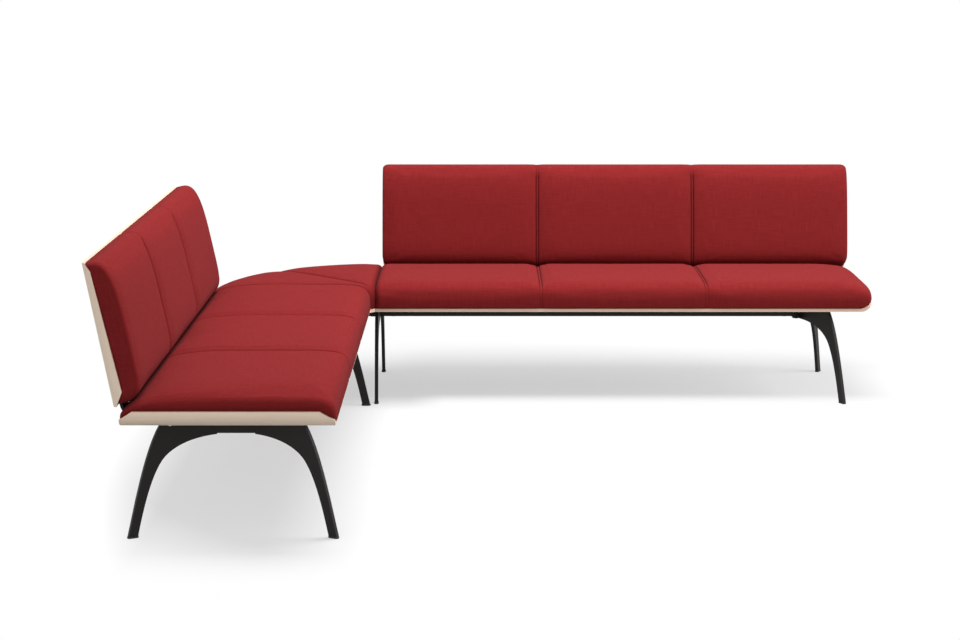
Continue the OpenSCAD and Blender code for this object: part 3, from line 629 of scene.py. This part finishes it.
def swell(piece, free, underside):
    """Lets the foam press the cloth out under a short simulation. The skin moves only as far as
    its share of freedom, so seams and lower edges stay where they were sewn. The underside and
    the caps are held."""
    free = np.concatenate([free, np.zeros((len(free), underside))], axis=1).ravel()
    start = points_of(piece)
    hold = piece.vertex_groups.new(name="held")
    for index in range(len(start)):
        weight = 1 - (free[index] if index < len(free) else 0)
        if weight > 0.01:
            hold.add([index], float(weight), "REPLACE")
    cloth = piece.modifiers.new("swell", "CLOTH")
    cloth.settings.vertex_group_mass = "held"
    cloth.settings.quality = 5
    cloth.settings.mass = 0.04
    cloth.settings.tension_stiffness = 12
    cloth.settings.compression_stiffness = 12
    cloth.settings.shear_stiffness = 4
    cloth.settings.bending_stiffness = 0.6
    cloth.settings.shrink_min = 0.0
    cloth.settings.use_pressure = True
    cloth.settings.uniform_pressure_force = 4
    cloth.settings.effector_weights.gravity = 0
    cloth.point_cache.frame_end = swell_frames
    for number in range(1, swell_frames + 1):
        bpy.context.scene.frame_set(number)
    result = piece.evaluated_get(bpy.context.evaluated_depsgraph_get())
    flat = np.zeros(len(start) * 3)
    result.data.vertices.foreach_get("co", flat)
    piece.modifiers.remove(cloth)
    bpy.context.scene.frame_set(1)
    piece.vertex_groups.remove(hold)
    move = flat.reshape(-1, 3) - start
    length = np.linalg.norm(move, axis=1, keepdims=True)
    set_points(piece, start + move * np.minimum(1, swell_most / np.maximum(length, 1e-9)))


def take_place(piece, node):
    """One subdivision for a smooth skin, then the piece takes its place in the bench."""
    smooth = piece.modifiers.new("smooth", "SUBSURF")
    smooth.levels = smooth.render_levels = 1
    graph = bpy.context.evaluated_depsgraph_get()
    final = bpy.data.meshes.new_from_object(piece.evaluated_get(graph))
    piece.modifiers.clear()
    piece.data = final
    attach(piece, "root")
    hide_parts(node)


def mirrored(piece, name):
    """The same pad for the left bench, as its mirror image on the diagonal."""
    mesh = piece.data.copy()
    mesh.name = name
    twin = bpy.data.objects.new(name, mesh)
    bpy.context.scene.collection.objects.link(twin)
    set_points(twin, across_diagonal(points_of(twin)))
    mesh.flip_normals()
    return twin


def bench_pad(name, low, depth, height, bent_low, rolls, powers, slope, edge_line, rim, bar_rise,
              under, share, fade, place):
    """Builds a pad along a bench, sews it and lets it swell, then puts it on its shell. Its far
    end is always in bent plywood, and its low end only where bent_low says so. Each of rolls
    is a length, a power and a fall of its top at the bent ends."""
    xs = stations((low, bench_l), station_step)
    skins, lows = [], []
    for x in xs:
        near, far = x - low, bench_l - x
        end = min(near, far) if bent_low else far
        on_bar = min(abs(x - b) for b in bars) < bar_half + bar_slack

        def floor(across):
            rise = sheet_rise(end, across, edge_line)
            return np.maximum(rise, bar_rise(across)) if on_bar else rise

        def at_ends(length, power):
            return roll(far, length, power) + (roll(near, length, power) if bent_low else 0)

        drop = sum(fall * at_ends(length, power) for length, power, fall in rolls)
        at_joint = 0 if bent_low else roll(near, joint_roll, 2)
        inset = end_draw * at_ends(end_round, 2) + joint_draw * at_joint
        top = height - drop - joint_roll * at_joint
        skin, below = pad_section(depth, top, inset, powers, slope, floor, under)
        skins.append([(x, a, b) for a, b in skin])
        lows.append([(x, a, b) for a, b in below])
    grid = np.array(skins)
    over = run_of(grid)
    part = over / over[:, -1:]
    away = np.min([np.abs(xs - s) for s in seams], axis=0)
    normal = grid_normals(grid)
    normal[:, :, 0] = 0
    grid = grid - normal * (seam_depth(away)[:, None] * share(part))[:, :, None]
    # Painted shade: the third number marks where shade is painted along the stitch lines, in the fold
    # against the other pad and at the joint with the corner seat
    faint = np.clip(faint_share - share(part), 0, 1) * fade
    stitches = np.abs(away - band)[:, None] * stitch_shade + faint
    deep, high = np.moveaxis(place(grid.reshape(-1, 3)).reshape(grid.shape), 2, 0)[1:]
    seam = np.minimum(stitches, np.abs(deep + high - meet) * crease_shade)
    if not bent_low:
        seam = np.minimum(seam, (xs - low)[:, None] * joint_shade)
    cloth = np.stack([grid[:, :, 0], over, seam], axis=2)
    piece = closed_skin(name, grid, np.array(lows), cloth)
    set_points(piece, tucked_in(points_of(piece), low, bent_low, edge_line, *rim))
    from_end = np.minimum(xs - low, bench_l - xs)
    beside_end = np.clip((from_end - held_end) / held_end_fade, 0, 1)
    swell(piece, freedom(away[:, None], over) * beside_end[:, None], len(under))
    set_points(piece, place(points_of(piece)) + bench_start)
    return piece


def pressed(over):
    """Retreat of a pad from the plane where it meets another, with a rounded mouth."""
    return (over + np.sqrt(over ** 2 + meet_round ** 2)) / 4


def on_seat(points):
    """Puts a pad on the seat and flattens it where it presses on the back's pad."""
    points = points + np.array([0, -overhang, seat_top])
    over = pressed(points[:, 1] + points[:, 2] - meet)
    return points - np.stack([0 * over, over, over], axis=1)


def seat_share(part):
    """Seams are deep on the crown and shallow on the front face."""
    return 0.18 + 0.82 * np.clip((part - 0.09) / 0.10, 0, 1)


# The back's bars lie flat on the sheet from bar_from on, and turn up round an axis over it
bar_from = 0.453
bar_axis_y = 0.5562
bar_axis_z = 0.050
bar_turn_r = 0.0415
bar_turn_end = 0.0414


def seat_bar(across):
    """Height over the sheet of the bent bars of the back, which stand in the foam."""
    past = np.clip(across - overhang - bar_axis_y, 0, bar_turn_end)
    return np.where(across > bar_from, bar_axis_z - np.sqrt(bar_turn_r ** 2 - past ** 2), 0)


# The bent end's trimmed edge, as places across the seat and heights over the sheet, and the
# places across of the points on the pad's underside
seat_edge = ([0.004, 0.046, 0.567, 0.604], [0.010, 0.034, 0.034, 0.010])
seat_under = [0.018, 0.032, 0.046, 0.15, 0.30, 0.4525, 0.4535, 0.51, 0.556, 0.567, 0.577, 0.587]
seat_pad = bench_pad(
    "right_seat_pad", low=pad_fit, depth=seat_d + overhang, height=seat_pad_h, bent_low=False,
    rolls=[(0.150, 1.8, 0.026), (0.024, 2.0, 0.013)], powers=((9.0, 4.0), (2.8, 2.8)), slope=0,
    edge_line=seat_edge, rim=(0.010, 0), bar_rise=seat_bar, under=seat_under, share=seat_share,
    fade=0.002, place=on_seat)
left_seat_pad = mirrored(seat_pad, "left_seat_pad")
take_place(seat_pad, "right_seat_cushion")
take_place(left_seat_pad, "left_seat_cushion")

# Back cushions. Each back has one foam pad on its shell, in three places like the seat. It is
# thicker at its foot, rounds over to the shell's edge at the top, and both its ends stand
# nearly square on the bent plywood.
back_h = 0.411
back_pad_h = 0.082
back_pad_up = 0.004
bar_t = 0.0085
bar_end = 0.107


def on_back(points):
    """Puts a pad on the back and flattens it where it presses on the seat's pad."""
    x, up, out = points.T
    up = up + back_pad_up
    out = out + ply_t
    points = np.stack([x, back_y + up * math.sin(lean) - out * math.cos(lean),
                       back_z + up * math.cos(lean) + out * math.sin(lean)], axis=1)
    over = pressed(meet - points[:, 1] - points[:, 2])
    return points + np.stack([0 * over, over, over], axis=1)


def back_share(part):
    """Seams fade out on the roll over the top."""
    return 0.20 + 0.80 * np.clip((0.86 - part) / 0.06, 0, 1)


def back_bar(across):
    """Height over the sheet of the bars, which end part of the way up the back."""
    return np.where(across < bar_end, bar_t, 0)


back_edge = ([-0.004, 0.036, 0.3818, 0.407], [0.0, 0.026, 0.012, 0.0])
back_under = [0.012, 0.024, 0.036, 0.07, 0.1065, 0.1075, 0.20, 0.29, 0.3818, 0.394]
back_pad = bench_pad(
    "right_back_pad", low=shell_gap / 2, depth=back_h - back_pad_up, height=back_pad_h,
    bent_low=True, rolls=[(0.030, 2.0, 0.010)], powers=((5.2, 3.5), (3.0, 3.4)), slope=0.010,
    edge_line=back_edge, rim=(0.007, 0.020), bar_rise=back_bar, under=back_under,
    share=back_share, fade=0.02, place=on_back)
left_back_pad = mirrored(back_pad, "left_back_pad")
take_place(back_pad, "right_back_cushion")
take_place(left_back_pad, "left_back_cushion")

# Corner seat cushion. A quarter-round pad fills the corner, with one double seam on the
# diagonal from the cut-off tip to the outer arc, where the seam is deeper, and rolled edges
# against both benches.
corner_r = seat_d + nose_x
diagonal = math.pi / 4
slant = 0.71
corner_powers = ((9.0, 4.0), (3.0, 2.6))
tip_reach = 0.12
tip_share = 0.3


def corner_pad():
    """Fans the pad's sections out from the corner, close together at its edges and its seam."""
    by_edge = [0, 0.06, 0.14, 0.24, 0.37, 0.53, 0.74, 1.0, 1.35, 1.8, 2.5, 3.4, 4.6, 6.2, 8.4, 11.2,
               15, 19]
    half = by_edge + [45 - a for a in by_edge[::-1]]
    angles = np.radians(half + [90 - a for a in half[-2::-1]])
    tip = nose_x - pad_fit
    under = [0.12, 0.25, 0.37, 0.50]
    skins, lows, folds, edges = [], [], [], []

    def spread(r, angle, height):
        """Points at distances from the corner, in the direction of an angle."""
        return np.stack([tip - r * math.cos(angle), r * math.sin(angle) - tip, height], axis=1)

    for angle in angles:
        start = tip / (math.cos(angle) + math.sin(angle))
        skin, below = pad_section(corner_r - pad_fit - start, seat_pad_h, 0, corner_powers, 0,
                                  np.zeros_like, under)
        r = start + skin[:, 0]
        beside = np.minimum(r * math.sin(angle), r * math.cos(angle))
        fold = r * abs(math.sin(angle - diagonal))
        rise = np.clip(skin[:, 1] / seat_pad_h, 0, 1)
        sewn = seam_depth(fold) * np.clip(r / tip_reach, tip_share, 1)
        drop = joint_roll * roll(beside, joint_roll, 2) + sewn
        skins.append(spread(r, angle, skin[:, 1] - drop * rise ** 2))
        r = start + below[:, 0]
        lows.append(spread(r, angle, 0 * r))
        folds.append(fold)
        edges.append(beside)
    grid, fold, beside = np.array(skins), np.array(folds), np.array(edges)
    over = run_of(grid)
    # Painted shade along the diagonal seam's stitches and at the joints with both benches
    seam = np.minimum(np.abs(fold - band) * stitch_shade, beside * joint_shade)
    x, y = grid[:, :, 0], grid[:, :, 1]
    cloth = np.stack([(x + y) * slant, (y - x) * slant, seam], axis=2)
    piece = closed_skin("corner_seat_pad", grid, np.array(lows), cloth)
    swell(piece, freedom(np.minimum(beside, fold), over), len(under))
    set_points(piece, points_of(piece) + np.array([corner_x, shift, seat_top]))
    return piece


take_place(corner_pad(), "corner_seat_cushion")

# Studio. A pale floor runs out into white. Wide soft boxes hang over the bench and stand at
# its right and in front, and a dim white room fills the shadows. The camera stands at eye
# height in front of the right bench.
floor_half = 30
floor_mesh = bpy.data.meshes.new("studio_floor")
floor_corners = [(-floor_half, -floor_half, 0), (floor_half, -floor_half, 0),
                 (floor_half, floor_half, 0), (-floor_half, floor_half, 0)]
floor_mesh.from_pydata(floor_corners, [], [(0, 1, 2, 3)])
floor = bpy.data.objects.new("studio_floor", floor_mesh)
bpy.context.scene.collection.objects.link(floor)

# The floor takes a shadow round the bench and is plain white further out, where painted light also
# covers the faint far reach of the shadow. Painted light makes it white too to the left of the left
# bench and in front of the right one, over the shadow that the benches throw there
shadow_x = 0.3
shadow_r = 1.65
left_white = -1.12
front_white = 0.74
front_white_from = -0.42
most_shadow = 0.49
room_light = 0.68

paint, tree, shader = new_finish("pale floor", Roughness=0.9)
east, north, _ = tree.parts(tree.place())
out = ((east - shadow_x) * (east - shadow_x) + north * north) ** 0.5
rays = tree.node("LightPath", {}, {}, "Is Camera Ray") + tree.node("LightPath", {}, {}, "Is Glossy Ray")
# Painted light: these masks whiten the floor over the benches' shadow on the left and in front
at_left = ((left_white - east) * 4.0).limited()
in_front = ((front_white - north) * 6.0).limited() * ((east - front_white_from) * 8.0).limited()
painted_white = (((out - shadow_r) * 2.0).limited() + at_left + in_front).limited()
seen = rays.limited() * (most_shadow + painted_white * (1 - most_shadow))
feed(tree, shader, Base_Color=rays.limited().blend((0.25, 0.25, 0.25, 1), (0.650, 0.659, 0.666, 1)))
lit = tree.node("Emission", {}, {"Color": (1, 1, 1, 1), "Strength": 1.0})
both = tree.node("MixShader", {}, {0: seen, 1: Socket(tree.tree, shader.outputs[0]), 2: lit})
tree.tree.links.new(both.output, tree.tree.nodes["Material Output"].inputs["Surface"])
floor_mesh.materials.append(paint)

world = bpy.data.worlds.new("white room")
bpy.context.scene.world = world
world.use_nodes = True
sky = Socket(world.node_tree)
ray = sky.node("LightPath", {}, {}, "Is Camera Ray")
room = world.node_tree.nodes["Background"]
room.inputs["Color"].default_value = (1, 1, 1, 1)
world.node_tree.links.new((room_light + ray * (1 - room_light)).output, room.inputs["Strength"])


def soft_box(name, place, aim, size, power):
    lamp = bpy.data.lights.new(name, "AREA")
    lamp.shape = "RECTANGLE"
    lamp.size, lamp.size_y = size
    lamp.energy = power
    box = bpy.data.objects.new(name, lamp)
    box.location = place
    box.rotation_euler = (Vector(aim) - Vector(place)).to_track_quat("-Z", "Y").to_euler()
    box.visible_camera = False
    bpy.context.scene.collection.objects.link(box)


soft_box("overhead", (0.15, 0.30, 3.8), (0.15, 0.40, 0.3), (2.8, 2.2), 172)
soft_box("side", (3.9, 0.2, 2.2), (-0.8, 0.0, 0.6), (2.4, 2.2), 100)
soft_box("front", (-1.5, -4.6, 1.6), (-0.9, -1.2, 0.4), (1.6, 1.2), 20)

# The camera's place is given from the corner of the row, and it looks down at a small angle
eye_right = 0.4130
eye_front = 7.4824
eye_height = 1.6914
look_down = 10.5
eye = bpy.data.cameras.new("camera")
eye.sensor_width = 36
eye.lens = 78.64
eye.shift_x = -0.0040
eye.shift_y = 0.0024
camera = bpy.data.objects.new("camera", eye)
camera.location = (eye_right + corner_x, shift - eye_front, eye_height)
camera.rotation_euler = (math.radians(90 - look_down), 0, 0)
bpy.context.scene.collection.objects.link(camera)
bpy.context.scene.camera = camera
bpy.context.scene.view_settings.view_transform = "Standard"
